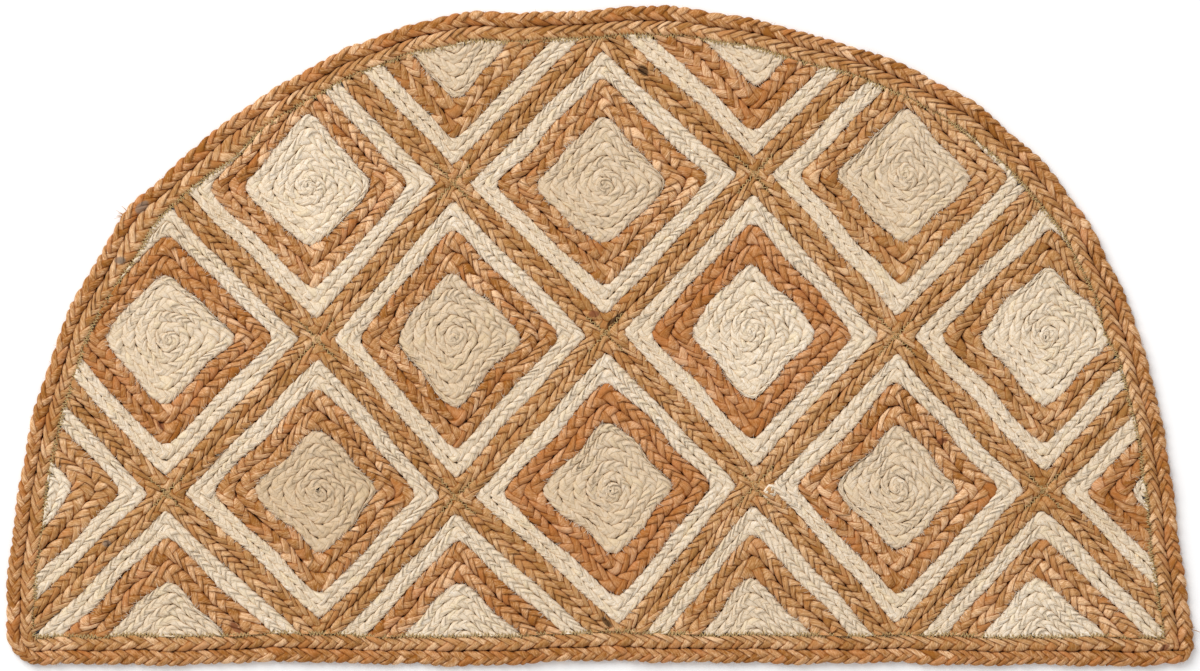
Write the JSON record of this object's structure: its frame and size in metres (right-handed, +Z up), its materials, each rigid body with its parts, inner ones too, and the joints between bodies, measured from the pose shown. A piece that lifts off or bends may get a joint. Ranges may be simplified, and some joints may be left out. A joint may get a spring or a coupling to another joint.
{
  "type": "half-round braided jute rug",
  "caption": "Half-moon floor mat of sewn jute braid: coiled diamond tiles in cream and brown, joined by a lattice of braid and edged with a braided border.",
  "frame": {"origin": "centre of the rug's outline, on the floor it lies on", "axes": "+X along the straight edge, -Y towards the straight edge, +Z up from the floor"},
  "size_m": [0.8994, 0.499, 0.0072],
  "materials": {
    "brown_jute": "three-strand braid of natural brown jute, matt, with loose fibres",
    "cream_jute": "three-strand braid of bleached cream jute, matt, with loose fibres"
  },
  "bodies": {
    "root": {"centre_a1": "cream_jute", "brown_frame_a1": "brown_jute", "cream_frame_a1": "cream_jute", "centre_a2": "cream_jute", "brown_frame_a2": "brown_jute", "cream_frame_a2": "cream_jute", "centre_b1": "cream_jute", "brown_frame_b1": "brown_jute", "cream_frame_b1": "cream_jute", "centre_b2": "cream_jute", "brown_frame_b2": "brown_jute", "cream_frame_b2": "cream_jute", "centre_b3": "cream_jute", "brown_frame_b3": "brown_jute", "cream_frame_b3": "cream_jute", "centre_c1": "cream_jute", "brown_frame_c1": "brown_jute", "cream_frame_c1": "cream_jute", "centre_c2": "cream_jute", "brown_frame_c2": "brown_jute", "cream_frame_c2": "cream_jute", "centre_c3": "cream_jute", "brown_frame_c3": "brown_jute", "cream_frame_c3": "cream_jute", "centre_c4": "cream_jute", "brown_frame_c4": "brown_jute", "cream_frame_c4": "cream_jute", "centre_d1": "cream_jute", "brown_frame_d1": "brown_jute", "cream_frame_d1": "cream_jute", "centre_d2": "cream_jute", "brown_frame_d2": "brown_jute", "cream_frame_d2": "cream_jute", "centre_d3": "cream_jute", "brown_frame_d3": "brown_jute", "cream_frame_d3": "cream_jute", "centre_d4": "cream_jute", "brown_frame_d4": "brown_jute", "cream_frame_d4": "cream_jute", "centre_d5": "cream_jute", "brown_frame_d5": "brown_jute", "cream_frame_d5": "cream_jute", "centre_e1": "cream_jute", "brown_frame_e1": "brown_jute", "cream_frame_e1": "cream_jute", "centre_e2": "cream_jute", "brown_frame_e2": "brown_jute", "cream_frame_e2": "cream_jute", "centre_e3": "cream_jute", "brown_frame_e3": "brown_jute", "cream_frame_e3": "cream_jute", "centre_e4": "cream_jute", "brown_frame_e4": "brown_jute", "cream_frame_e4": "cream_jute", "joining_lattice": "brown_jute", "border": "brown_jute"}
  },
  "joints": []
}
